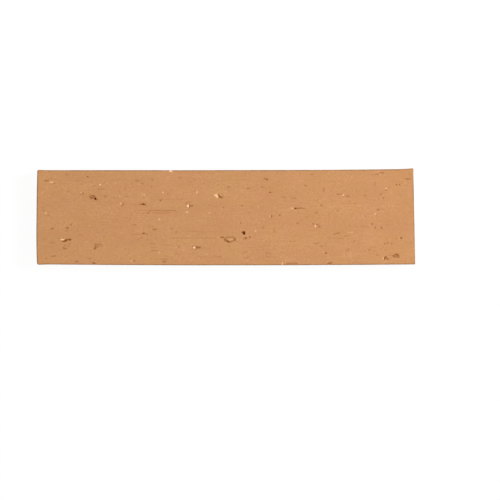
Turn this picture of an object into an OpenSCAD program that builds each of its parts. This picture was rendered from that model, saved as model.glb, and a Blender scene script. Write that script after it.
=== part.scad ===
// Thin clay brick, fired as one piece. It lies on its flat back with its face up.
// X runs along the brick, Y up the face and Z out of the face. Sizes are in millimetres.
// The origin is at the middle of the back.

/* [Body] */
// Length of the face before firing
face_l = 240; // [120:1:500]
// Height of the face before firing
face_h = 60; // [30:1:150]
// Thickness from the back to the face
thickness = 12; // [6:0.5:60]

/* [Edges] */
// Radius of the round along the edges of the face
arris_r = 0.6; // [0.2:0.1:2]
// Radius of the two corners of the left end, seen from the front
left_corner_r = 1.3; // [0.4:0.1:6]
// Radius of the two corners of the right end, seen from the front
right_corner_r = 0.4; // [0.2:0.1:6]

/* [Firing warp] */
// How far the lower edge bellies out at mid-length
belly = 0.6; // [0:0.05:2]
// How far the upper edge lifts at the right end
lift = 0.85; // [0:0.05:3]
// How far the lower right corner stands out past the upper one
skew = 1.2; // [0:0.05:5]
// How far the left end bows out, most of all below mid-height
left_bow = 0.5; // [0.05:0.05:2]
// How far the corners flare up or down, all but the lower right one
flare = 0.4; // [0:0.05:1]

/* [Hidden] */

// The lift grows with this power of the way along, so it stays near the right end
lift_power = 5;
// The bow follows this power of the way up, which moves its deepest place below mid-height
bow_power = 0.6;
// The flare fades with this power of the way to an end, so it stays at the corners
flare_power = 80;
// The smallest radius that a corner keeps where the round of the face eats into it
least_corner_r = 0.05;

// Straight stretches along a long edge, points on each half of the left end, and steps round a
// corner and round the face's edge
edge_steps = 16;
end_points = 4;
corner_steps = 5;
arris_steps = 4;

// The body is drawn this far past the back, which is then cut flat
back_spare = thickness / 4;
// Block that cuts the back flat, with room to spare all round
cutter_l = face_l + 2 * skew + face_h;
cutter_h = 2 * face_h;

// Where a point of the plain rectangle ends up after firing, centred on the origin
function fired(point) =
    let (along = point[0] / face_l + 0.5)
    let (up = point[1] / face_h + 0.5)
    [
        point[0]
            + skew * (along * (0.5 - up) - 0.25)
            - left_bow * ((1 - along) * sin(180 * pow(max(up, 0), bow_power)) - 0.5),
        point[1]
            + lift * (pow(along, lift_power) * up - 0.5)
            - belly * (sin(180 * along) * (1 - up) - 0.5)
            + flare * (pow(1 - along, flare_power) * (2 * up - 1) + pow(along, flare_power) * up - 0.5)
    ];

// Radius of a corner once the outline has moved in by inset
function corner_left_over(corner_r, inset) = max(corner_r - inset, least_corner_r);

// Quarter circle of radius r that ends at the rectangle's lower corner, side -1 left or 1 right
function corner_arc(side, r, inset) =
    let (centre = [side * (face_l / 2 - inset - r), inset + r - face_h / 2])
    let (first_angle = side < 0 ? 180 : 270)
    [
        for (step = [0:corner_steps])
        let (angle = first_angle + 90 * step / corner_steps)
        centre + r * [cos(angle), sin(angle)]
    ];

// Points of the left end from near its middle down to the lower corner's first point
function left_end(corner) = [
    for (step = [0:end_points - 1])
    [corner[0], corner[1] * (2 * step + 1) / (2 * end_points + 1)]
];

// Points between the two corners of the lower edge, closer together towards its ends
function edge_points(first, last) = [
    for (step = [1:edge_steps - 1])
    first + (last - first) * (1 - cos(180 * step / edge_steps)) / 2
];

// Lower half of the plain outline from left to right
function lower_chain(inset) =
    let (left = corner_arc(-1, corner_left_over(left_corner_r, inset), inset))
    let (right = corner_arc(1, corner_left_over(right_corner_r, inset), inset))
    concat(left_end(left[0]), left, edge_points(left[corner_steps], right[0]), right);

// Whole fired outline, anticlockwise from the left end, moved in by inset
function fired_outline(inset) =
    let (chain = lower_chain(inset))
    let (last = len(chain) - 1)
    concat(
        [for (point = chain) fired(point)],
        [for (i = [last:-1:0]) fired([chain[i][0], -chain[i][1]])]
    );

// The same outline as points in space at height z
function ring(inset, z) = [for (point = fired_outline(inset)) [point[0], point[1], z]];

// Rings from below the back, up the sides and round the edge of the face
function body_rings() = concat(
    [ring(0, -back_spare)],
    [
        for (step = [0:arris_steps])
        let (angle = 90 * step / arris_steps)
        ring(arris_r * (1 - cos(angle)), thickness - arris_r * (1 - sin(angle)))
    ]
);

// Two triangles for each quad between one ring and the next
function wall_faces(ring_count, size) = [
    for (r = [0:ring_count - 2])
    for (i = [0:size - 1])
    let (next = (i + 1) % size)
    let (low = r * size)
    let (high = low + size)
    each [[low + i, high + i, high + next], [low + i, high + next, low + next]]
];

// Strip of triangles from the lower half of the ring that begins at start to its upper half
function strip(start, size) = [
    for (i = [0:size / 2 - 2])
    let (across = size - 1 - i)
    each [
        [start + i, start + i + 1, start + across - 1],
        [start + i, start + across - 1, start + across]
    ]
];

function turned_over(faces) = [for (face = faces) [face[2], face[1], face[0]]];

// Solid skin over a list of rings that all have as many points
module skin(rings) {
    size = len(rings[0]);
    top_start = (len(rings) - 1) * size;
    polyhedron(
        points = [for (one_ring = rings) each one_ring],
        faces = concat(
            strip(0, size),
            wall_faces(len(rings), size),
            turned_over(strip(top_start, size))
        )
    );
}

module thin_brick() {
    color([0.80, 0.58, 0.40])
    difference() {
        skin(body_rings());
        translate([-cutter_l / 2, -cutter_h / 2, -2 * back_spare])
            cube([cutter_l, cutter_h, 2 * back_spare]);
    }
}

thin_brick();
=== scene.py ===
# Looks of a thin clay brick that lies face up. Lengths are in millimetres until the mesh is made.
import math

import bpy
import numpy as np
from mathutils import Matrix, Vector


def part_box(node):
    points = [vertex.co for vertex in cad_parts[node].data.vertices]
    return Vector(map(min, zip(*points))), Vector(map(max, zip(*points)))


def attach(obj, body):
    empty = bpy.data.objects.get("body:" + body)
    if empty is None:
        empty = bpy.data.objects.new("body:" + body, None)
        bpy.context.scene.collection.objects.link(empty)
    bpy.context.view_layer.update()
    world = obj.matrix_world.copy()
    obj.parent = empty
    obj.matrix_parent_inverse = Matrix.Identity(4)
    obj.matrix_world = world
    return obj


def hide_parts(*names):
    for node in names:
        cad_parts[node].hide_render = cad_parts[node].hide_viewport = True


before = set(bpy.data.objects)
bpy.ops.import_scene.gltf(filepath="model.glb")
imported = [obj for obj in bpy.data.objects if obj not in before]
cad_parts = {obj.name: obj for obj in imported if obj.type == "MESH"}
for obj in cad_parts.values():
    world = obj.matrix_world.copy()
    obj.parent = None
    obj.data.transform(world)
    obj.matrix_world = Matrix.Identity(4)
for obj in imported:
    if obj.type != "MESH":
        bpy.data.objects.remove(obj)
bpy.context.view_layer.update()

MM = 0.001
NODE = "thin_brick"
BODY = "root"
SEED = 7
# Keeps a division away from zero
TINY = 1e-9

# Edges and firing warp of the solid
ARRIS_R = 0.6
LEFT_CORNER_R = 1.3
RIGHT_CORNER_R = 0.4
LEAST_CORNER_R = 0.05
BELLY = 0.6
LIFT = 0.85
LIFT_POWER = 5
SKEW = 1.2
LEFT_BOW = 0.5
BOW_POWER = 0.6
FLARE = 0.4
FLARE_POWER = 80

# Plain sizes of the brick before the warp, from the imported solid's box. Its highest point is where the
# round of the upper right corner begins
box_low, box_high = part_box(NODE)
box_size = (box_high - box_low) / MM
FACE_L = box_size.x - SKEW / 2 - LEFT_BOW
HIGHEST = 1 - RIGHT_CORNER_R / FACE_L
FACE_H = box_size.y - LIFT * HIGHEST**LIFT_POWER - BELLY - FLARE * HIGHEST**FLARE_POWER
THICKNESS = box_size.z

# Cells of the mesh. A cell of the back is as long and as high as this many of the face's
COLUMNS = 480
ROWS = 160
BACK_SHARE = 4
BACK_COLUMNS = COLUMNS // BACK_SHARE
BACK_ROWS = ROWS // BACK_SHARE
ARRIS_STEPS = 3
SIDE_STEPS = 7
# Rows of the sides lie closer together near the face, by this power of the way down
SIDE_ROW_POWER = 1.4
# Narrow chamfer round the back, and how far inside the outline the back's grid begins
BACK_CHAMFER_HEIGHT = 0.3
BACK_CHAMFER_WIDTH = 0.6
BACK_MARGIN = 1.5
# Edges of the mesh that turn by more degrees than this are shaded as sharp
SHARP_ANGLE = 55

# Relief of the face. Its plain level lies a little below the solid's face, so that what stands up stays
# inside it. The depth of pits and the height of grains are shares of their width
FACE_DROP = 0.15
PIT_SHARE = 0.55
GRAIN_SHARE = 0.05
# Heights of waves, drag lines and sand, with the cells of their noise along and up the face
WAVE_HEIGHT = 0.08
WAVE_CELL = (30, 12)
DRAG_HEIGHT = 0.012
LONG_DRAG_CELL = (35, 0.9)
SHORT_DRAG_CELL = (12, 0.8)
SAND_HEIGHT = 0.007
# The edges of marks waver by this much, over cells of this size
MARK_WOBBLE = 0.2
WOBBLE_CELL = (1.3, 1.3)
# Values of a mark's field between which it comes to cover other marks, and comes to its full depth
COVER_RANGE = (-0.5, 0.3)
DEPTH_RANGE = (-0.2, 0.8)

# Relief of the edges and sides, with the cells of its noise along x, y and z. It grows to its full height
# over the fade's way down
EDGE_DIP = 0.12
SIDE_FADE = 3
SIDE_DRAG_HEIGHT = 0.10
SIDE_DRAG_CELL = (25, 25, 1.6)
END_TEAR_CELL = (1.2, 1.2, 14)
SIDE_SAND_HEIGHT = 0.03
# Pits of the sides: depth, noise and the values of it between which they deepen
SIDE_PIT_DEPTH = 0.35
SIDE_PIT_CELL = (1.6, 1.6, 1.4)
SIDE_PIT_RANGE = (0.5, 0.8)
# The same noise as a field of painted shade in the pits: its value at their edge, how steeply it rises, and
# the shade's strength
SIDE_PIT_SHADE_EDGE = 0.6
SIDE_PIT_SHADE_RISE = 3
SIDE_PIT_SHADE_STRENGTH = 0.3

# The marks on the face are placed from this height, near its middle
MARK_MIDDLE_Y = -0.1

# Pale grains on the face, partly real grains and partly painted highlight on the lit walls of pits: middle
# x and y, length, width, slant in degrees, strength
PALE_GRAINS_AND_HIGHLIGHTS = [
    # Bright ones
    (-24, 7, 1.9, 1.2, 90, 1.4),
    (-6, 13.5, 3.0, 2.1, -40, 1.0),
    (-6.5, 14, 1.9, 1.6, 0, 1.0),
    (-80, 20.5, 1.3, 1.2, 0, 1.1),
    (-35, 29, 2.0, 1.4, 0, 1.1),
    (-20, -19.5, 2.0, 1.4, -45, 1.2),
    (-104, -14.5, 2.4, 0.8, 0, 1.2),
    (-111, 22, 2.6, 1.0, -8, 0.8),
    (74.5, 14, 1.4, 1.2, 90, 0.95),
    (57, -6, 1.6, 1.1, 90, 0.95),
    (19, -9, 1.4, 0.9, 0, 0.8),
    (36, -29.5, 2.2, 0.9, 80, 0.75),
    # Mild ones
    (-67, 8.5, 1.2, 1.1, 0, 0.75),
    (-42.5, -1.5, 2.0, 0.9, 85, 0.75),
    (102, 18, 1.5, 1.1, -20, 0.65),
    (100, -26.5, 1.3, 1.1, 0, 0.55),
    (80, 25.5, 0.9, 0.9, 0, 0.6),
    (80.5, -9.5, 1.2, 0.8, 0, 0.3),
    (95, 2, 1.6, 1.1, 60, 0.6),
    (-24.5, 3, 1.6, 1.4, 0, 0.65),
    (-18.5, 15.5, 1.8, 1.2, 90, 0.6),
    (-92, 15.5, 1.3, 1.0, 0, 0.55),
    (-40, 15.5, 1.6, 1.2, 0, 0.5),
    (-52, 14, 1.6, 1.3, 0, 0.5),
    (28, 0.5, 1.2, 1.1, 0, 0.5),
    (42, 5.5, 2.4, 1.3, 0, 0.4),
    (-60, -28, 1.6, 1.1, 0, 0.45),
    (-10.5, 2.5, 1.6, 1.2, 0, 0.45),
    (-114.5, 2.5, 1.8, 1.3, -30, 0.5),
    (-117, 15.5, 1.0, 0.9, 0, 0.45),
    (-67.5, 13, 2.0, 1.0, 90, 0.4),
    (-42.5, -22.5, 1.6, 0.9, 90, 0.4),
    # Faint ones
    (2.5, -14.5, 3.4, 1.2, 0, 0.2),
    (3.5, -19, 1.5, 0.9, 0, 0.25),
    (-114, 18.5, 1.2, 1.0, 0, 0.25),
    (-75.5, 21.5, 1.2, 1.0, 0, 0.3),
    (-70, 21.5, 1.3, 1.0, 0, 0.35),
    (-55, 20.5, 1.2, 1.0, 0, 0.3),
    (0, 16, 1.4, 1.0, 0, 0.35),
    (97, 29, 1.4, 1.0, 0, 0.25),
    (104.5, 17, 1.0, 0.9, 0, 0.25),
    (106, 19, 1.0, 0.9, 0, 0.25),
    (103.5, 15, 1.0, 0.9, 0, 0.2),
    (9.5, -10.5, 1.5, 0.8, 60, 0.15),
    (13.5, -9.5, 2.0, 0.8, 80, 0.15),
    (15.5, -14.5, 1.0, 0.8, 0, 0.15),
    (-39.5, -13.5, 1.4, 1.0, 0, 0.25),
    (79, -10, 3.4, 0.7, 10, 0.3),
    (64, 17.5, 1.0, 0.9, 0, 0.2),
    (-55, -12.5, 1.2, 0.9, 0, 0.3),
    (37.5, 19.5, 1.4, 0.8, 90, 0.2),
    (75.5, -25, 1.2, 0.8, 80, 0.25),
    (78, -25, 2.4, 0.8, 90, 0.2),
    (80, -25, 1.4, 0.8, 90, 0.25),
    (-80, -8, 1.2, 0.9, 0, 0.2),
    (-77, -19.5, 1.2, 0.9, 0, 0.2),
    (-83, 9, 1.2, 0.8, 60, 0.2),
    (-26.5, 23, 1.2, 0.9, 0, 0.2),
    (-27, 10.5, 1.0, 0.8, 0, 0.2),
    (-10.5, 12, 1.2, 0.9, 0, 0.2),
    (20.5, 6.5, 2.0, 0.8, 90, 0.25),
    (29, -9, 1.4, 0.8, 80, 0.2),
    (35, -25.5, 1.6, 0.8, 80, 0.3),
    (39, -25.5, 1.4, 0.8, 60, 0.25),
    (105.5, -21, 1.0, 0.8, 0, 0.2),
]

# Dark pits, tears and drag lines on the face, in the same form. Their brown is partly darker clay and
# partly painted shade inside them
DARK_AND_SHADED_MARKS = [
    # The hole, the pits below it and the dark dash
    (11.5, -10.5, 1.8, 1.5, -15, 1.5),
    (11.5, -10, 1.8, 1.4, -15, 1.4),
    (10.5, -10, 1.6, 0.9, -15, 1.0),
    (12.5, -13.5, 1.4, 1.2, 70, 0.8),
    (15, -13, 1.5, 1.0, 80, 0.6),
    (11, -14, 1.1, 0.9, 0, 0.25),
    (-53, 8, 4.0, 0.9, 0, 0.65),
    (-52.5, 8, 2.6, 1.2, 0, 0.9),
    (-51, 7, 1.8, 0.8, -30, 0.3),
    # The cluster of pits
    (-85, 12.5, 4.6, 2.8, -15, 0.15),
    (-83, 11.5, 1.7, 1.4, 0, 1.3),
    (-82, 11, 1.3, 0.9, -20, 0.5),
    (-85.5, 12, 1.2, 1.1, 0, 0.9),
    (-84, 13, 2.4, 1.0, -40, 0.75),
    (-85, 13.5, 1.6, 0.9, 0, 0.7),
    (-86.5, 13, 1.2, 1.0, 0, 0.65),
    (-86.5, 11.5, 1.0, 0.8, 0, 0.4),
    # Tears beside grains
    (-25.5, 8.5, 1.0, 0.8, 0, 0.5),
    (-24.5, 9.5, 1.0, 0.9, 0, 0.55),
    (-23, 9.5, 1.0, 0.9, 0, 0.55),
    (-23, 7, 2.4, 0.8, 90, 0.9),
    (-21.5, 7, 1.4, 0.9, 90, 0.7),
    (-25.5, 6, 0.8, 0.7, 0, 0.4),
    (-4.5, 13.5, 2.2, 1.2, -45, 0.75),
    (-3.5, 12.5, 1.6, 1.2, -20, 0.8),
    (-2.5, 12.5, 1.1, 0.9, 0, 0.65),
    (-18, -19.5, 2.6, 1.2, 0, 0.65),
    (-19, -19, 1.2, 0.9, -45, 0.7),
    (-16.5, -19.5, 1.3, 1.0, 60, 0.8),
    (-21, -18.5, 1.6, 0.8, 30, 0.45),
    (-19, -20.5, 1.8, 0.8, 0, 0.4),
    (-102, -15, 2.6, 1.4, 25, 0.9),
    (-103.5, -15.5, 1.8, 1.0, 20, 0.75),
    (-99.5, -14.5, 2.2, 1.2, 0, 0.8),
    (-106.5, -13.5, 2.0, 0.7, 15, 0.2),
    (-114, 23, 3.2, 0.9, 0, 0.5),
    (-109.5, 21, 1.2, 0.8, 0, 0.4),
    (72, 14.5, 3.6, 0.9, 0, 0.38),
    (74.5, 13, 1.2, 0.8, 0, 0.4),
    (77.5, 13, 3.4, 0.9, 0, 0.3),
    (58, -5, 1.4, 0.9, -30, 0.4),
    (59.5, -6, 1.4, 1.0, 0, 0.6),
    (58, -7, 1.0, 0.8, 0, 0.4),
    (55.5, -4.5, 1.6, 0.9, 30, 0.55),
    (-65.5, 8, 1.5, 0.9, 80, 0.55),
    (-66.5, 7, 1.2, 0.8, 0, 0.35),
    (-91, 15, 1.5, 1.0, 60, 0.65),
    (-92.5, 14.5, 1.6, 0.8, 0, 0.45),
    (44, 5.5, 1.4, 1.1, 0, 1.0),
    (46.5, 5.5, 4.0, 0.6, 0, 0.7),
    (49, 5.5, 4.4, 0.5, 0, 0.5),
    (102, 17, 1.6, 0.8, 0, 0.4),
    (103.5, 18.5, 1.0, 0.8, 0, 0.35),
    (29, 0.5, 1.5, 0.9, 90, 0.6),
    (-37, 14.5, 1.2, 0.9, 0, 0.35),
    (76.5, -12, 2.4, 0.9, 0, 0.35),
    (78.5, -12, 3.5, 0.8, -4, 0.15),
    (70.5, -10.5, 5.0, 0.9, 12, 0.35),
    (-58.5, -28, 1.4, 0.9, 60, 0.5),
    (-61, -26.5, 1.2, 0.8, 0, 0.3),
    # Small pits and dashes of the left half
    (-41.5, 10.5, 1.5, 1.1, 0, 0.5),
    (-49.5, 2.5, 1.5, 1.1, 0, 0.6),
    (-58, -5, 1.3, 1.0, 0, 0.45),
    (-52.5, -10.5, 1.6, 1.2, -30, 0.7),
    (-50.5, -11, 1.6, 0.8, 0, 0.35),
    (-52.5, -7.5, 1.0, 0.8, 0, 0.25),
    (-54, -13.5, 1.6, 0.9, 0, 0.3),
    (-45.5, -8, 3.0, 1.2, 0, 0.4),
    (-31.5, -9.5, 1.6, 0.9, 15, 0.4),
    (-34.5, -7.5, 2.4, 1.4, 0, 0.18),
    (-30, -19, 1.5, 0.9, 0, 0.4),
    (-101, -7, 1.7, 1.2, 20, 0.5),
    (-98.5, -5, 1.4, 0.9, 70, 0.5),
    (-101.5, -9, 2.6, 0.8, 0, 0.2),
    (-110.5, -7.5, 2.4, 1.1, 0, 0.4),
    (-110.5, -16.5, 3.6, 0.8, 0, 0.25),
    (-83.5, -20, 1.8, 1.3, 50, 0.6),
    (-83, -18.5, 3.0, 1.2, 80, 0.5),
    (-80.5, -17.5, 3.0, 1.0, 0, 0.35),
    (-81.5, -19, 2.4, 0.9, 30, 0.35),
    (-79, -18.5, 1.4, 0.9, 90, 0.3),
    (-95, -28.5, 2.4, 1.0, 15, 0.55),
    (-84, -29.5, 2.4, 1.0, -15, 0.6),
    (-86.5, -26.5, 2.2, 0.8, 0, 0.3),
    (-110, -25, 3.6, 0.9, 5, 0.4),
    (-114.5, -26, 1.2, 0.9, 0, 0.35),
    (-39.5, -28.5, 2.8, 1.0, 0, 0.45),
    (-39.5, -27, 5.0, 0.9, 0, 0.25),
    (-1.5, 6, 1.3, 1.0, 0, 0.4),
    (-10.5, 7.5, 1.6, 0.9, 0, 0.25),
    (-78, -8, 1.2, 0.9, 0, 0.25),
    (-88, 25.5, 1.3, 1.0, 0, 0.45),
    (-101.5, 27, 2.2, 0.9, 0, 0.3),
    (-100.5, 16.5, 1.8, 0.9, 0, 0.25),
    (-77, 13, 2.2, 1.1, 0, 0.35),
    (-81, 17.5, 1.2, 0.9, 0, 0.35),
    (-79, 17.5, 1.2, 0.9, 0, 0.4),
    (-64, 18, 1.6, 1.0, 0, 0.3),
    (-63, 13, 2.0, 0.9, 0, 0.25),
    (-56.5, 23, 3.0, 1.3, 0, 0.25),
    (-47, 23.5, 1.8, 1.2, 0, 0.28),
    (-53, 21, 1.6, 0.9, 0, 0.3),
    (-47.5, 18.5, 1.3, 1.0, 0, 0.25),
    (-29.5, 25, 2.2, 1.1, 0, 0.22),
    (-52, 12.5, 1.4, 0.9, 0, 0.28),
    (-116, 4, 2.0, 0.8, 0, 0.3),
    (-113, 1, 1.6, 0.8, 30, 0.3),
    (-56, -14.5, 2.0, 0.8, 20, 0.2),
    (-69.5, -19, 1.2, 0.9, 90, 0.2),
    (-64, -20, 1.4, 0.9, 30, 0.22),
    # Broken loop below the large grain at the left
    (-103, -20, 1.8, 0.9, -40, 0.6),
    (-101.5, -20, 1.6, 0.8, 35, 0.5),
    (-102.5, -18, 2.0, 0.8, 0, 0.3),
    (-99.5, -17, 1.6, 0.8, -20, 0.45),
    (-100, -18.5, 1.4, 0.8, 0, 0.3),
    # Small pits and dashes of the right half
    (24.5, 24.5, 1.4, 1.3, -20, 0.55),
    (26, 24, 1.8, 1.3, 20, 0.55),
    (23, 19, 2.2, 1.6, 0, 0.22),
    (50.5, 20, 1.5, 1.0, 0, 0.45),
    (28, 15.5, 1.7, 1.0, 0, 0.65),
    (14, 18, 3.0, 1.0, 0, 0.35),
    (1, 19, 1.3, 0.9, 0, 0.28),
    (2.5, 19, 1.3, 0.9, 0, 0.28),
    (36.5, 12.5, 2.6, 1.0, 0, 0.22),
    (43, 12, 4.0, 1.0, 0, 0.22),
    (10, 7, 2.0, 1.0, 0, 0.25),
    (34, 1, 1.6, 1.0, 0, 0.5),
    (9.5, -4, 1.5, 0.9, 90, 0.45),
    (30.5, -9, 2.8, 1.0, 90, 0.25),
    (23.5, -7, 1.8, 1.1, 90, 0.22),
    (45.5, -4, 1.9, 1.0, 0, 0.35),
    (12.5, -22.5, 2.8, 1.1, 0, 0.2),
    (13, -26, 3.0, 1.0, 20, 0.22),
    (27, -23, 4.0, 0.9, 0, 0.22),
    (26.5, -25.5, 3.5, 0.9, -15, 0.22),
    (63.5, -23, 1.6, 1.3, 0, 0.55),
    (66, -29.5, 3.6, 1.1, 12, 0.55),
    (42, -29.5, 8.0, 0.7, 2, 0.45),
    (57, 2.5, 3.0, 1.2, 0, 0.25),
    (71, 4, 2.0, 1.3, 0, 0.22),
    (77.5, 10, 1.4, 0.9, 0, 0.22),
    (79, 10, 1.2, 0.9, 0, 0.22),
    (82, 8.5, 1.8, 1.3, 0, 0.2),
    (88.5, 13.5, 1.8, 1.3, 0, 0.22),
    (88.5, 0.5, 1.3, 0.9, 0, 0.22),
    (57, -17, 3.0, 1.1, 0, 0.25),
    (60.5, -18.5, 2.8, 1.0, 0, 0.22),
    (81.5, -15.5, 1.7, 1.3, 0, 0.25),
    (84, -15.5, 1.3, 1.2, 90, 0.2),
    (111.5, -13.5, 1.4, 1.2, 0, 0.85),
    (108.5, -14, 1.3, 0.9, 0, 0.2),
    (108.5, 20.5, 1.3, 1.0, 90, 0.55),
    (110.5, 20.5, 1.3, 1.0, 90, 0.55),
    (116, 24, 4.0, 0.8, 0, 0.4),
    (108.5, 30, 3.4, 0.9, 0, 0.5),
    (93, 26.5, 1.2, 0.8, 0, 0.4),
    (95, 27, 1.2, 0.9, 0, 0.45),
    (96.5, 27, 1.2, 0.9, -20, 0.5),
    (99, 28, 3.0, 1.0, -10, 0.4),
    (94.5, 20.5, 3.4, 0.9, 80, 0.22),
    (100, 12, 1.6, 1.1, 0, 0.4),
    (98.5, 14.5, 1.5, 1.1, 0, 0.4),
    (97, 11.5, 1.3, 0.9, 0, 0.25),
    (96.5, 4.5, 2.4, 1.0, 10, 0.4),
    (96, 1, 1.3, 0.9, 0, 0.3),
    (93, -4.5, 2.0, 1.1, 75, 0.35),
    (95, -7, 1.8, 1.0, 75, 0.4),
    (99, -7, 1.5, 1.3, 90, 0.5),
    (101, -17, 1.4, 1.0, 45, 0.45),
    (103, -16.5, 1.5, 0.9, -20, 0.45),
    (105.5, -17, 1.1, 0.9, 0, 0.35),
    (91, -21, 1.5, 1.1, 0, 0.4),
    (96, -24.5, 2.2, 0.9, 0, 0.3),
    (78, -21, 2.4, 0.9, 80, 0.25),
    (76.5, -21.5, 2.0, 0.9, 80, 0.25),
    (54.5, 27, 2.4, 0.9, 0, 0.35),
    (60.5, 7.5, 1.6, 1.2, 90, 0.4),
    (62, 17.5, 3.0, 1.0, 90, 0.35),
    (41, -15.5, 1.3, 0.9, 0, 0.28),
    (43.5, -15.5, 1.3, 0.9, 0, 0.28),
    # Two open arches near the lower right corner
    (101, -26.5, 1.8, 1.0, 75, 0.8),
    (101.5, -25.5, 1.4, 0.9, 0, 0.7),
    (102.5, -26.5, 2.2, 0.9, -50, 0.7),
    (106.5, -25, 1.2, 1.0, 20, 0.75),
    (107, -24.5, 1.5, 1.0, 50, 0.7),
    (108.5, -24, 2.4, 1.0, 0, 0.75),
    (109.5, -24.5, 1.6, 1.0, -45, 0.6),
    (108.5, -25.5, 3.8, 0.9, 0, 0.55),
    (108.5, -25, 2.6, 1.2, 0, 0.25),
    (105, -24.5, 2.4, 0.8, 0, 0.28),
    # Drag lines
    (-40, 4, 17.0, 0.8, 0, 0.32),
    (-53.5, 4, 9.0, 0.8, 0, 0.15),
    (-48.5, 4, 1.4, 0.9, 0, 0.35),
    (-41, 2.5, 11.0, 0.9, 0, 0.2),
    (-54, 2.5, 7.0, 0.7, 0, 0.12),
    (-58, 8, 6.0, 0.8, 0, 0.14),
    (-57, -11, 9.0, 0.8, 0, 0.15),
    (-38, 11, 20.0, 0.7, 0, 0.12),
    (-20, -13.5, 30.0, 0.9, 0, 0.15),
    (-15, -9.5, 26.0, 0.7, 0, 0.09),
    (-11.5, -25.5, 16.0, 0.7, 0, 0.14),
    (-4.5, -25.5, 2.8, 0.9, 0, 0.25),
    (-47, -17, 3.5, 0.9, 0, 0.18),
    (-37.5, -18, 9.0, 0.7, 0, 0.14),
    (-46, -19.5, 4.5, 0.8, 0, 0.2),
    (-45.5, -21.5, 5.0, 0.9, 0, 0.22),
    (69.5, -13.5, 10.0, 0.7, 0, 0.2),
    (88.5, -6, 6.0, 0.7, 0, 0.18),
    # Open oval mark, from its hook round to its top
    (-2.5, -13, 2.6, 1.1, 0, 0.55),
    (-0.5, -14.5, 2.6, 1.4, -60, 0.55),
    (1, -15.5, 2.8, 1.5, -25, 0.75),
    (3.5, -15.5, 3.0, 1.1, 15, 0.5),
    (5.5, -14.5, 2.2, 1.5, 70, 0.6),
    (4.5, -13, 2.4, 1.0, -15, 0.45),
    (2, -13, 4.4, 0.9, 0, 0.42),
]

# Faint flecks strewn over the face: how many, their sizes, and their slant either way in degrees
DARK_FLECKS = 600
PALE_FLECKS = 600
FLECK_LENGTH = (0.8, 2.0)
FLECK_WIDTH = (0.7, 1.2)
FLECK_SLANT = 25
# Their greatest strength, and the least share of it that one has
DARK_FLECK_STRENGTH = 0.15
PALE_FLECK_STRENGTH = 0.16
LEAST_FLECK_SHARE = 0.2

# Colours of the clay, in linear values
CLAY_PINK = (0.611, 0.294, 0.131, 1)
CLAY_YELLOW = (0.609, 0.301, 0.125, 1)
# Pale and white of the grains: partly their own colour, partly painted highlight on the lit walls of pits
GRAIN_PALE_AND_HIGHLIGHT = (1.0, 0.565, 0.31, 1)
GRAIN_WHITE_AND_HIGHLIGHT = (1.0, 0.78, 0.48, 1)
# Brown of the pits, partly darker clay and partly painted shade inside them, and the hole's brown, painted
# shade
PIT_BROWN_AND_SHADE = (0.24, 0.06, 0.0, 1)
HOLE_SHADE_BROWN = (0.10, 0.02, 0.0, 1)
# Brown of the painted shade along the rounded edges
RIM_SHADE_BROWN = (0.24, 0.13, 0.065, 1)
# Share of the rim's painted shade on the face's outermost points and on the sides' uppermost ones
FACE_RIM_SHADE = 0.36
SIDE_RIM_SHADE = 0.5
# How far each channel follows a darker or lighter place, because darker clay is deeper in colour too
CLAY_DEPTH = (1.0, 1.36, 1.89)

# Texture of the clay. A cell gives the lengths of a noise along x, y and z. A ramp gives the two values
# that it runs between and, where they aren't 0 and 1, the two that it turns them into
PATCH_CELL = (16, 8, 8)
PATCH_RAMP = (0.35, 0.65)
CLOUD_CELL = (20, 10, 10)
CLOUD_RAMP = (0.3, 0.7, -0.018, 0.018)
STREAK_CELL = (8, 0.8, 0.8)
STREAK_RAMP = (0.3, 0.7, -0.018, 0.018)
STREAKY_CELL = (30, 16, 16)
STREAKY_RAMP = (0.42, 0.65, 0.2, 1.8)
SAND_CELL = (1.2, 1.0, 1.0)
SAND_RAMP = (0.3, 0.7, -0.042, 0.042)
SANDY_CELL = (20, 12, 12)
SANDY_RAMP = (0.4, 0.62, 0.4, 1.5)
SPECK_CELL = (0.5, 0.45, 0.45)
DARK_SPECK_RAMP = (0.32, 0.38, -0.09, 0)
PALE_SPECK_RAMP = (0.62, 0.68, 0, 0.08)
# Unevenness of the painted shade along the rim
RIM_SHADE_CELL = (5, 5, 5)
RIM_SHADE_RAMP = (0.35, 0.65, 0.45, 0.85)
# Marks: how their edges crumble, their fields, and the strengths at which grains whiten with painted
# highlight and holes darken with painted shade
CRUMBLE_CELL = (0.5, 0.5, 0.5)
CRUMBLE_RAMP = (0.3, 0.7, -0.3, 0.3)
PALE_AND_HIGHLIGHT_RAMP = (-0.1, 0.45)
WHITE_AND_HIGHLIGHT_RAMP = (0.9, 1.4)
DARK_AND_SHADE_RAMP = (-0.4, 0.6)
HOLE_SHADE_RAMP = (0.95, 1.4)
# Surface: roughness, and the bump of the grit
ROUGH_CELL = (3, 1.5, 1.5)
ROUGH_RAMP = (0.3, 0.7, 0.82, 0.96)
GRIT_CELL = (0.6, 0.5, 0.5)
GRIT_STRENGTH = 0.35
GRIT_HEIGHT = 0.15
SPECULAR = 0.1

# Camera: the photograph's scale and the place of the brick's middle in its frame
FRAME_PX = 500
PX_LENGTH = 0.636
MIDDLE_PX = (225.8, 216.75)
LENS = 135
SENSOR = 36

# Light: the dome's share of the light on the face, and the lamp to the right, with lengths in metres
DOME_LIGHT = 0.55
KEY_LIGHT = 0.45
KEY_DISTANCE = 1.9
KEY_ELEVATION = 37
KEY_AZIMUTH = 12
KEY_SIZE = 0.6
WHITE = (1, 1, 1, 1)

# Floor, with lengths in metres. It is seen as a glow plus a little of the light that falls on it, so
# it keeps a faint shadow
FLOOR_HALF = 4.0
FLOOR_GAP = 0.0001
FLOOR_GLOW = 0.94
FLOOR_SHADE = (0.075, 0.075, 0.075, 1)
FLOOR_WHITE = (0.8, 0.8, 0.8, 1)

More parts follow.
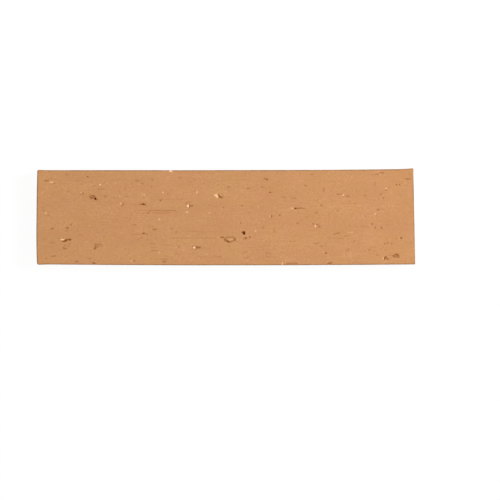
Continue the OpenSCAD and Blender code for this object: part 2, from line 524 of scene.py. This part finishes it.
rng = np.random.default_rng(SEED)


def smooth_step(low, high, value):
    """Zero up to low, one from high on, and a smooth rise between them."""
    share = np.clip((value - low) / (high - low), 0, 1)
    return share * share * (3 - 2 * share)


def lattice_noise(points, cells):
    """Smooth random values from -1 to 1 at an (n, 3) array of points, on a lattice with these cells."""
    at = points / cells
    at = at - np.floor(at.min(0))
    base = at.astype(int)
    part = smooth_step(0, 1, at - base)
    values = rng.uniform(-1, 1, base.max(0) + 2)
    total = np.zeros(len(points))
    for corner in np.ndindex(2, 2, 2):
        weight = np.prod(np.where(corner, part, 1 - part), axis=1)
        total += weight * values[tuple((base + corner).T)]
    return total


def plan(s, t, inset):
    """Points of the plain rectangle with its round corners, moved in by inset. s and t run from -1 to 1."""
    half_l = FACE_L / 2 - inset
    half_h = FACE_H / 2 - inset
    x = s * half_l
    y = t * half_h
    corner_r = np.maximum(np.where(s < 0, LEFT_CORNER_R, RIGHT_CORNER_R) - inset, LEAST_CORNER_R)
    past_x = np.maximum(np.abs(x) - half_l + corner_r, 0)
    past_y = np.maximum(np.abs(y) - half_h + corner_r, 0)
    reach = np.maximum(np.hypot(past_x, past_y), TINY)
    pull = 1 - np.maximum(past_x, past_y) / reach
    both = (past_x > 0) & (past_y > 0)
    x = np.where(both, x - np.sign(x) * past_x * pull, x)
    y = np.where(both, y - np.sign(y) * past_y * pull, y)
    return x, y


def fired(x, y):
    """Where points of the plain rectangle end up after firing."""
    along = x / FACE_L + 0.5
    up = y / FACE_H + 0.5
    skewed = SKEW * (along * (0.5 - up) - 0.25)
    bowed = LEFT_BOW * ((1 - along) * np.sin(math.pi * np.maximum(up, 0) ** BOW_POWER) - 0.5)
    lifted = LIFT * (along**LIFT_POWER * up - 0.5)
    bellied = BELLY * (np.sin(math.pi * along) * (1 - up) - 0.5)
    flared = FLARE * ((1 - along) ** FLARE_POWER * (2 * up - 1) + along**FLARE_POWER * up - 0.5)
    return x + skewed - bowed, y + lifted - bellied + flared


def grid_steps(columns, rows):
    """Steps from -1 to 1 along and up a grid, at each of its points."""
    return np.meshgrid(np.linspace(-1, 1, columns + 1), np.linspace(-1, 1, rows + 1))


def border(grid):
    """Values round the edge of a grid, anticlockwise from its lower left corner."""
    return np.concatenate([grid[0, :-1], grid[:-1, -1], grid[-1, :0:-1], grid[:0:-1, 0]])


def in_rows(x, y, z):
    """Points as an (n, 3) array, from arrays or single values."""
    return np.stack(np.broadcast_arrays(x, y, z), axis=-1).reshape(-1, 3)


class FaceMarks:
    """One kind of mark over the face's grid: a field that is one on a mark's spine and falls to zero at
    its edge, and the strength and width of the mark that counts there."""

    def __init__(self, x, y):
        self.x = x
        self.y = y
        self.field = np.full(x.shape, -1.0)
        self.strength = np.zeros(x.shape)
        self.width = np.zeros(x.shape)

    def window(self, x, y, reach):
        """Rows and columns of the grid within reach of a point, or None."""
        middle_row = self.x[self.x.shape[0] // 2]
        middle_column = self.y[:, self.y.shape[1] // 2]
        columns = np.flatnonzero(np.abs(middle_row - x) < reach)
        rows = np.flatnonzero(np.abs(middle_column - y) < reach)
        if not len(columns) or not len(rows):
            return None
        return slice(rows[0], rows[-1] + 1), slice(columns[0], columns[-1] + 1)

    def stroke(self, x, y, length, width, slant, strength):
        """Adds a mark. It counts where it covers more than what is there, or where nothing is."""
        # The grid leans by up to the skew, so the window is wider by that
        part = self.window(x, y, length / 2 + 2 * width + SKEW)
        if part is None:
            return
        turn = math.radians(slant)
        across = self.x[part] - x
        upward = self.y[part] - y
        u = across * math.cos(turn) + upward * math.sin(turn)
        v = upward * math.cos(turn) - across * math.sin(turn)
        past = np.maximum(np.abs(u) - (length - width) / 2, 0)
        field = np.maximum(1 - 2 * np.hypot(past, v) / width, -1)
        ours = strength * smooth_step(*COVER_RANGE, field)
        theirs = self.strength[part] * smooth_step(*COVER_RANGE, self.field[part])
        better = (ours > theirs) | ((theirs == 0) & (field > self.field[part]))
        self.field[part] = np.where(better, field, self.field[part])
        self.strength[part] = np.where(better, strength, self.strength[part])
        self.width[part] = np.where(better, width, self.width[part])

    def relief(self):
        """How far the marks go in or stand out, before their share of it."""
        return self.width * self.strength * smooth_step(*DEPTH_RANGE, self.field)


def strew(marks, count, greatest):
    """Adds faint flecks at random, longer along the brick than across it."""
    for _ in range(count):
        marks.stroke(
            rng.uniform(-FACE_L / 2, FACE_L / 2),
            rng.uniform(-FACE_H / 2, FACE_H / 2),
            rng.uniform(*FLECK_LENGTH),
            rng.uniform(*FLECK_WIDTH),
            rng.uniform(-FLECK_SLANT, FLECK_SLANT),
            greatest * rng.uniform(LEAST_FLECK_SHARE, 1),
        )


def face_layer():
    """The face: its points, the relief on them and the marks that the material reads."""
    x, y = fired(*plan(*grid_steps(COLUMNS, ROWS), ARRIS_R))
    flat = in_rows(x, y, 0)

    def noise(cell):
        return lattice_noise(flat, (*cell, 1)).reshape(x.shape)

    bent_x = x + MARK_WOBBLE * noise(WOBBLE_CELL)
    bent_y = y - MARK_MIDDLE_Y + MARK_WOBBLE * noise(WOBBLE_CELL)
    # Pale marks: grains, partly painted highlight, and pale flecks
    pale_and_highlight = FaceMarks(bent_x, bent_y)
    # Dark marks: pits and tears, partly painted shade, and dark flecks
    dark_and_shade = FaceMarks(bent_x, bent_y)
    strew(pale_and_highlight, PALE_FLECKS, PALE_FLECK_STRENGTH)
    strew(dark_and_shade, DARK_FLECKS, DARK_FLECK_STRENGTH)
    for mark in PALE_GRAINS_AND_HIGHLIGHTS:
        pale_and_highlight.stroke(*mark)
    for mark in DARK_AND_SHADED_MARKS:
        dark_and_shade.stroke(*mark)

    relief = WAVE_HEIGHT * noise(WAVE_CELL)
    relief += DRAG_HEIGHT * (noise(LONG_DRAG_CELL) + noise(SHORT_DRAG_CELL))
    relief += SAND_HEIGHT * rng.normal(size=x.shape)
    relief += GRAIN_SHARE * pale_and_highlight.relief() - PIT_SHARE * dark_and_shade.relief()
    relief = np.minimum(relief, FACE_DROP) - FACE_DROP
    marks = {
        "pale_field": pale_and_highlight.field,
        "pale_strength": pale_and_highlight.strength,
        "dark_field": dark_and_shade.field,
        "dark_strength": dark_and_shade.strength,
    }
    return x, y, relief, marks


class Layers:
    """The brick's points from the face down, and the values that the material reads at them. Where none are
    given, a place has no mark, no painted rim shade and is not cut."""

    PLAIN = {
        "pale_field": -1.0,
        "pale_strength": 0.0,
        "dark_field": -1.0,
        "dark_strength": 0.0,
        "rim": 0.0,
        "cut": 0.0,
    }

    def __init__(self):
        self.points = []
        self.values = {name: [] for name in self.PLAIN}

    def add(self, points, **given):
        self.points.append(points)
        for name, plain in self.PLAIN.items():
            self.values[name].append(np.broadcast_to(given.get(name, plain), len(points)))


def outward(x, y):
    """Unit vectors that point out of a closed ring of points."""
    along_x = np.roll(x, -1) - np.roll(x, 1)
    along_y = np.roll(y, -1) - np.roll(y, 1)
    length = np.hypot(along_x, along_y)
    return along_y / length, -along_x / length


def pushed_ring(edge, inset, push, z):
    """The fired outline, moved in by inset and then out by push, at height z. edge is its steps s and t."""
    x, y = fired(*plan(*edge, inset))
    out_x, out_y = outward(x, y)
    return in_rows(x + push * out_x, y + push * out_y, z)


def add_round_edge(layers, edge, edge_relief, edge_push, marks):
    """Rings round the edge of the face, which take on its relief and its marks, and the rim's painted
    shade.
    """
    for step in range(1, ARRIS_STEPS):
        angle = math.pi / 2 * (1 - step / ARRIS_STEPS)
        inset = ARRIS_R * (1 - math.cos(angle))
        z = THICKNESS - ARRIS_R * (1 - math.sin(angle)) + edge_relief * math.sin(angle)
        layers.add(pushed_ring(edge, inset, edge_push * math.cos(angle), z), rim=1, **marks)


def add_sides(layers, edge, edge_push):
    """Sides, dragged along the long ones and torn down the cut ends, with painted shade in their pits."""
    x, y = fired(*plan(*edge, 0))
    way_down = np.linspace(0, 1, SIDE_STEPS + 1) ** SIDE_ROW_POWER
    heights = THICKNESS - ARRIS_R + (BACK_CHAMFER_HEIGHT - THICKNESS + ARRIS_R) * way_down
    points = np.concatenate([in_rows(x, y, z) for z in heights])
    on_end = np.tile(np.abs(outward(x, y)[0]), len(heights))
    along = lattice_noise(points, SIDE_DRAG_CELL)
    down = lattice_noise(points, END_TEAR_CELL)
    pitted = lattice_noise(points, SIDE_PIT_CELL)
    relief = SIDE_DRAG_HEIGHT * (along * (1 - on_end) + down * on_end - 1)
    relief += SIDE_SAND_HEIGHT * rng.normal(size=len(points))
    relief -= SIDE_PIT_DEPTH * smooth_step(*SIDE_PIT_RANGE, pitted)
    relief = np.minimum(relief, 0).reshape(len(heights), -1)
    pit_shade_field = ((pitted - SIDE_PIT_SHADE_EDGE) * SIDE_PIT_SHADE_RISE).reshape(len(heights), -1)
    fade = smooth_step(0, SIDE_FADE, THICKNESS - ARRIS_R - heights)
    for z, share, push, field in zip(heights, fade, relief, pit_shade_field):
        # The sides' pits are painted dark as shade, through the dark marks' values
        layers.add(
            pushed_ring(edge, 0, push * share + edge_push * (1 - share), z),
            rim=SIDE_RIM_SHADE if z == heights[0] else 0,
            cut=share,
            dark_field=field,
            dark_strength=SIDE_PIT_SHADE_STRENGTH,
        )


def add_back(layers, edge):
    """Back: its edge, and a plain grid inside a narrow margin."""
    layers.add(pushed_ring(edge, BACK_CHAMFER_WIDTH, 0, 0), cut=1)
    x, y = fired(*plan(*grid_steps(BACK_COLUMNS, BACK_ROWS), BACK_MARGIN))
    layers.add(in_rows(x, y, 0), cut=1)


def grid_faces(columns, rows, first):
    """Quads of a grid whose vertices are numbered row by row, anticlockwise from above, and its border."""
    number = first + np.arange((columns + 1) * (rows + 1)).reshape(rows + 1, columns + 1)
    corners = number[:-1, :-1], number[:-1, 1:], number[1:, 1:], number[1:, :-1]
    return np.stack(corners, axis=-1).reshape(-1, 4), border(number)


def wall_faces(upper, lower):
    """Quads between one closed ring and the next one below it."""
    return np.stack([lower, np.roll(lower, -1), np.roll(upper, -1), upper], axis=-1)


def back_seam(outer, inner):
    """Triangles that face down between the back's edge and its grid, which has longer cells."""
    share = len(outer) // len(inner)
    outer = np.append(outer, outer[0])
    inner = np.append(inner, inner[0])
    faces = []
    for i in range(len(inner) - 1):
        first = i * share
        half = first + share // 2
        faces += [(outer[k + 1], outer[k], inner[i]) for k in range(first, half)]
        faces.append((inner[i], inner[i + 1], outer[half]))
        faces += [(outer[k + 1], outer[k], inner[i + 1]) for k in range(half, first + share)]
    return faces


def brick_faces():
    """Faces of the whole brick, over the layers in the order in which they are added."""
    faces, upper = grid_faces(COLUMNS, ROWS, 0)
    faces = faces.tolist()
    first = (COLUMNS + 1) * (ROWS + 1)
    for _ in range(ARRIS_STEPS + SIDE_STEPS + 1):
        lower = first + np.arange(len(upper))
        faces += wall_faces(upper, lower).tolist()
        upper = lower
        first += len(upper)
    back, inner = grid_faces(BACK_COLUMNS, BACK_ROWS, first)
    faces += back_seam(upper, inner)
    faces += back[:, ::-1].tolist()
    return faces


def build_brick():
    """One closed mesh: the face, its round edge, the sides and the back."""
    x, y, relief, marks = face_layer()
    # Painted shade on the face's outermost points
    rim = np.full(x.shape, FACE_RIM_SHADE)
    rim[1:-1, 1:-1] = 0
    face_values = {name: grid.ravel() for name, grid in marks.items()}
    layers = Layers()
    layers.add(in_rows(x, y, THICKNESS + relief), rim=rim.ravel(), **face_values)

    s, t = grid_steps(COLUMNS, ROWS)
    edge = border(s), border(t)
    edge_relief = np.maximum(border(relief), -FACE_DROP - EDGE_DIP)
    edge_push = np.minimum(edge_relief + FACE_DROP, 0)
    edge_marks = {name: border(grid) for name, grid in marks.items()}
    add_round_edge(layers, edge, edge_relief, edge_push, edge_marks)
    add_sides(layers, edge, edge_push)
    add_back(layers, edge)

    mesh = bpy.data.meshes.new("brick")
    mesh.from_pydata((np.concatenate(layers.points) * MM).tolist(), [], brick_faces())
    for name, parts in layers.values.items():
        values = np.concatenate(parts).astype(np.float32)
        mesh.attributes.new(name, "FLOAT", "POINT").data.foreach_set("value", values)
    mesh.shade_smooth()
    mesh.set_sharp_from_angle(angle=math.radians(SHARP_ANGLE))
    mesh.validate()
    brick = bpy.data.objects.new("brick", mesh)
    bpy.context.scene.collection.objects.link(brick)
    return brick


class Graph:
    """Short forms for the nodes of one material or world."""

    def __init__(self, owner):
        owner.use_nodes = True
        self.tree = owner.node_tree
        self.tree.nodes.clear()

    def node(self, kind, inputs=None, **settings):
        """A node with these inputs, each a socket to link or a value to set."""
        made = self.tree.nodes.new(kind)
        for name, value in settings.items():
            setattr(made, name, value)
        for name, value in (inputs or {}).items():
            if isinstance(value, bpy.types.NodeSocket):
                self.tree.links.new(value, made.inputs[name])
            else:
                made.inputs[name].default_value = value
        return made

    def attribute(self, name):
        return self.node("ShaderNodeAttribute", attribute_name=name).outputs["Fac"]

    def noise(self, place, cells, detail=2.0):
        """Noise over cells of these lengths, from about 0.25 to 0.75."""
        scale = [1 / (cell * MM) for cell in cells]
        scaled = self.node("ShaderNodeVectorMath", {0: place, 1: scale}, operation="MULTIPLY")
        inputs = {"Vector": scaled.outputs[0], "Scale": 1.0, "Detail": detail}
        return self.node("ShaderNodeTexNoise", inputs).outputs["Fac"]

    def ramp(self, value, low, high, to_low=0.0, to_high=1.0):
        inputs = {"Value": value, "From Min": low, "From Max": high, "To Min": to_low, "To Max": to_high}
        return self.node("ShaderNodeMapRange", inputs, interpolation_type="SMOOTHSTEP").outputs[0]

    def maths(self, operation, first, second):
        return self.node("ShaderNodeMath", {0: first, 1: second}, operation=operation).outputs[0]

    def blend(self, share, first, second, blend_type="MIX"):
        """Mix of two colours, which are the node's sockets 6 and 7."""
        inputs = {0: share, 6: first, 7: second}
        settings = {"data_type": "RGBA", "blend_type": blend_type}
        return self.node("ShaderNodeMix", inputs, **settings).outputs[2]


def clay_shade(graph, place):
    """How much lighter or darker the clay is than its plain colour: soft clouds, patches of streaks and of
    sand, and fine specks."""
    clouds = graph.ramp(graph.noise(place, CLOUD_CELL), *CLOUD_RAMP)
    streaky = graph.ramp(graph.noise(place, STREAKY_CELL), *STREAKY_RAMP)
    streaks = graph.ramp(graph.noise(place, STREAK_CELL, detail=3.0), *STREAK_RAMP)
    sandy = graph.ramp(graph.noise(place, SANDY_CELL), *SANDY_RAMP)
    sandy = graph.maths("ADD", sandy, graph.attribute("cut"))
    sand = graph.ramp(graph.noise(place, SAND_CELL, detail=6.0), *SAND_RAMP)
    specks = graph.noise(place, SPECK_CELL, detail=1.0)
    dark_specks = graph.ramp(specks, *DARK_SPECK_RAMP)
    pale_specks = graph.ramp(specks, *PALE_SPECK_RAMP)
    shade = graph.maths("ADD", clouds, graph.maths("MULTIPLY", streaks, streaky))
    shade = graph.maths("ADD", shade, graph.maths("MULTIPLY", sand, sandy))
    return graph.maths("ADD", shade, graph.maths("ADD", dark_specks, pale_specks))


def clay_material():
    """Matte fired clay with soft patches, drag streaks, sand, pale grains partly painted as highlight, dark
    pits partly painted as shade, and a rim darkened by painted shade.
    """
    material = bpy.data.materials.new("fired_clay")
    graph = Graph(material)
    place = graph.node("ShaderNodeTexCoord").outputs["Object"]
    patches = graph.ramp(graph.noise(place, PATCH_CELL), *PATCH_RAMP)
    colour = graph.blend(patches, CLAY_PINK, CLAY_YELLOW)
    inputs = {0: clay_shade(graph, place), 1: CLAY_DEPTH, 2: (1, 1, 1)}
    shade = graph.node("ShaderNodeVectorMath", inputs, operation="MULTIPLY_ADD").outputs[0]
    colour = graph.blend(1.0, colour, shade, "MULTIPLY")

    # Painted shade along the rounded edge, uneven in strength
    uneven = graph.ramp(graph.noise(place, RIM_SHADE_CELL, detail=4.0), *RIM_SHADE_RAMP)
    rim = graph.maths("MULTIPLY", graph.attribute("rim"), uneven)
    colour = graph.blend(rim, colour, RIM_SHADE_BROWN)

    crumble = graph.ramp(graph.noise(place, CRUMBLE_CELL), *CRUMBLE_RAMP)
    # Pale grains, partly painted highlight on the lit walls of pits
    pale_and_highlight = graph.ramp(graph.maths("ADD", graph.attribute("pale_field"), crumble), *PALE_AND_HIGHLIGHT_RAMP)
    pale_and_highlight = graph.maths("MULTIPLY", pale_and_highlight, graph.attribute("pale_strength"))
    colour = graph.blend(pale_and_highlight, colour, GRAIN_PALE_AND_HIGHLIGHT)
    colour = graph.blend(graph.ramp(pale_and_highlight, *WHITE_AND_HIGHLIGHT_RAMP), colour, GRAIN_WHITE_AND_HIGHLIGHT)
    # Dark pits, partly darker clay and partly painted shade, and the darkest ones painted as shaded holes
    dark_and_shade = graph.ramp(graph.maths("ADD", graph.attribute("dark_field"), crumble), *DARK_AND_SHADE_RAMP)
    dark_and_shade = graph.maths("MULTIPLY", dark_and_shade, graph.attribute("dark_strength"))
    colour = graph.blend(dark_and_shade, colour, PIT_BROWN_AND_SHADE)
    colour = graph.blend(graph.ramp(dark_and_shade, *HOLE_SHADE_RAMP), colour, HOLE_SHADE_BROWN)

    roughness = graph.ramp(graph.noise(place, ROUGH_CELL, detail=3.0), *ROUGH_RAMP)
    grit = graph.noise(place, GRIT_CELL, detail=5.0)
    inputs = {"Height": grit, "Strength": GRIT_STRENGTH, "Distance": GRIT_HEIGHT * MM}
    bump = graph.node("ShaderNodeBump", inputs).outputs[0]
    inputs = {
        "Base Color": colour,
        "Roughness": roughness,
        "Normal": bump,
        "Specular IOR Level": SPECULAR,
    }
    shader = graph.node("ShaderNodeBsdfPrincipled", inputs).outputs[0]
    graph.node("ShaderNodeOutputMaterial", {"Surface": shader})
    return material


def seen_directly(graph):
    """One for rays that show a surface as it is seen: from the camera, in a mirror or through glass."""
    path = graph.node("ShaderNodeLightPath").outputs
    mirrored = graph.maths("MAXIMUM", path["Is Glossy Ray"], path["Is Transmission Ray"])
    return graph.maths("MAXIMUM", path["Is Camera Ray"], mirrored)


def floor_material():
    """White floor that glows where it is seen and keeps a faint shadow."""
    material = bpy.data.materials.new("floor_white")
    graph = Graph(material)
    glow = graph.node("ShaderNodeEmission", {"Color": WHITE, "Strength": FLOOR_GLOW}).outputs[0]
    shade = graph.node("ShaderNodeBsdfDiffuse", {"Color": FLOOR_SHADE}).outputs[0]
    seen = graph.node("ShaderNodeAddShader", {0: glow, 1: shade}).outputs[0]
    plain = graph.node("ShaderNodeBsdfDiffuse", {"Color": FLOOR_WHITE}).outputs[0]
    mixed = graph.node("ShaderNodeMixShader", {0: seen_directly(graph), 1: plain, 2: seen}).outputs[0]
    graph.node("ShaderNodeOutputMaterial", {"Surface": mixed})
    return material


def build_floor():
    """One wide square just below the brick."""
    mesh = bpy.data.meshes.new("floor")
    corners = [(-1, -1), (1, -1), (1, 1), (-1, 1)]
    mesh.from_pydata([(FLOOR_HALF * x, FLOOR_HALF * y, -FLOOR_GAP) for x, y in corners], [], [(0, 1, 2, 3)])
    mesh.materials.append(floor_material())
    floor = bpy.data.objects.new("floor", mesh)
    bpy.context.scene.collection.objects.link(floor)


def build_world():
    """Even dome light, seen as white."""
    world = bpy.data.worlds.new("dome")
    bpy.context.scene.world = world
    graph = Graph(world)
    inputs = {"Value": seen_directly(graph), "To Min": DOME_LIGHT, "To Max": 1.0}
    strength = graph.node("ShaderNodeMapRange", inputs).outputs[0]
    dome = graph.node("ShaderNodeBackground", {"Color": WHITE, "Strength": strength}).outputs[0]
    graph.node("ShaderNodeOutputWorld", {"Surface": dome})


def build_key():
    """Soft lamp to the right, which lights the middle of the face by its share."""
    elevation = math.radians(KEY_ELEVATION)
    azimuth = math.radians(KEY_AZIMUTH)
    level = math.cos(elevation)
    towards = Vector((level * math.cos(azimuth), level * math.sin(azimuth), math.sin(elevation)))
    lamp = bpy.data.lights.new("key", "AREA")
    lamp.size = KEY_SIZE
    lamp.energy = KEY_LIGHT * math.pi**2 * KEY_DISTANCE**2 / math.sin(elevation)
    key = bpy.data.objects.new("key", lamp)
    key.location = towards * KEY_DISTANCE
    key.rotation_euler = towards.to_track_quat("Z", "Y").to_euler()
    bpy.context.scene.collection.objects.link(key)


def build_camera():
    """Looks straight down, at the photograph's scale on the face."""
    data = bpy.data.cameras.new("camera")
    data.lens = LENS
    data.sensor_width = SENSOR
    camera = bpy.data.objects.new("camera", data)
    camera.location = (
        (FRAME_PX / 2 - MIDDLE_PX[0]) * PX_LENGTH * MM,
        (MIDDLE_PX[1] - FRAME_PX / 2) * PX_LENGTH * MM,
        (THICKNESS + FRAME_PX * PX_LENGTH * LENS / SENSOR) * MM,
    )
    bpy.context.scene.collection.objects.link(camera)
    bpy.context.scene.camera = camera


bpy.context.scene.view_settings.view_transform = "Standard"
build_camera()
build_world()
build_key()
build_floor()

brick = build_brick()
brick.data.materials.append(clay_material())
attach(brick, BODY)
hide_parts(NODE)
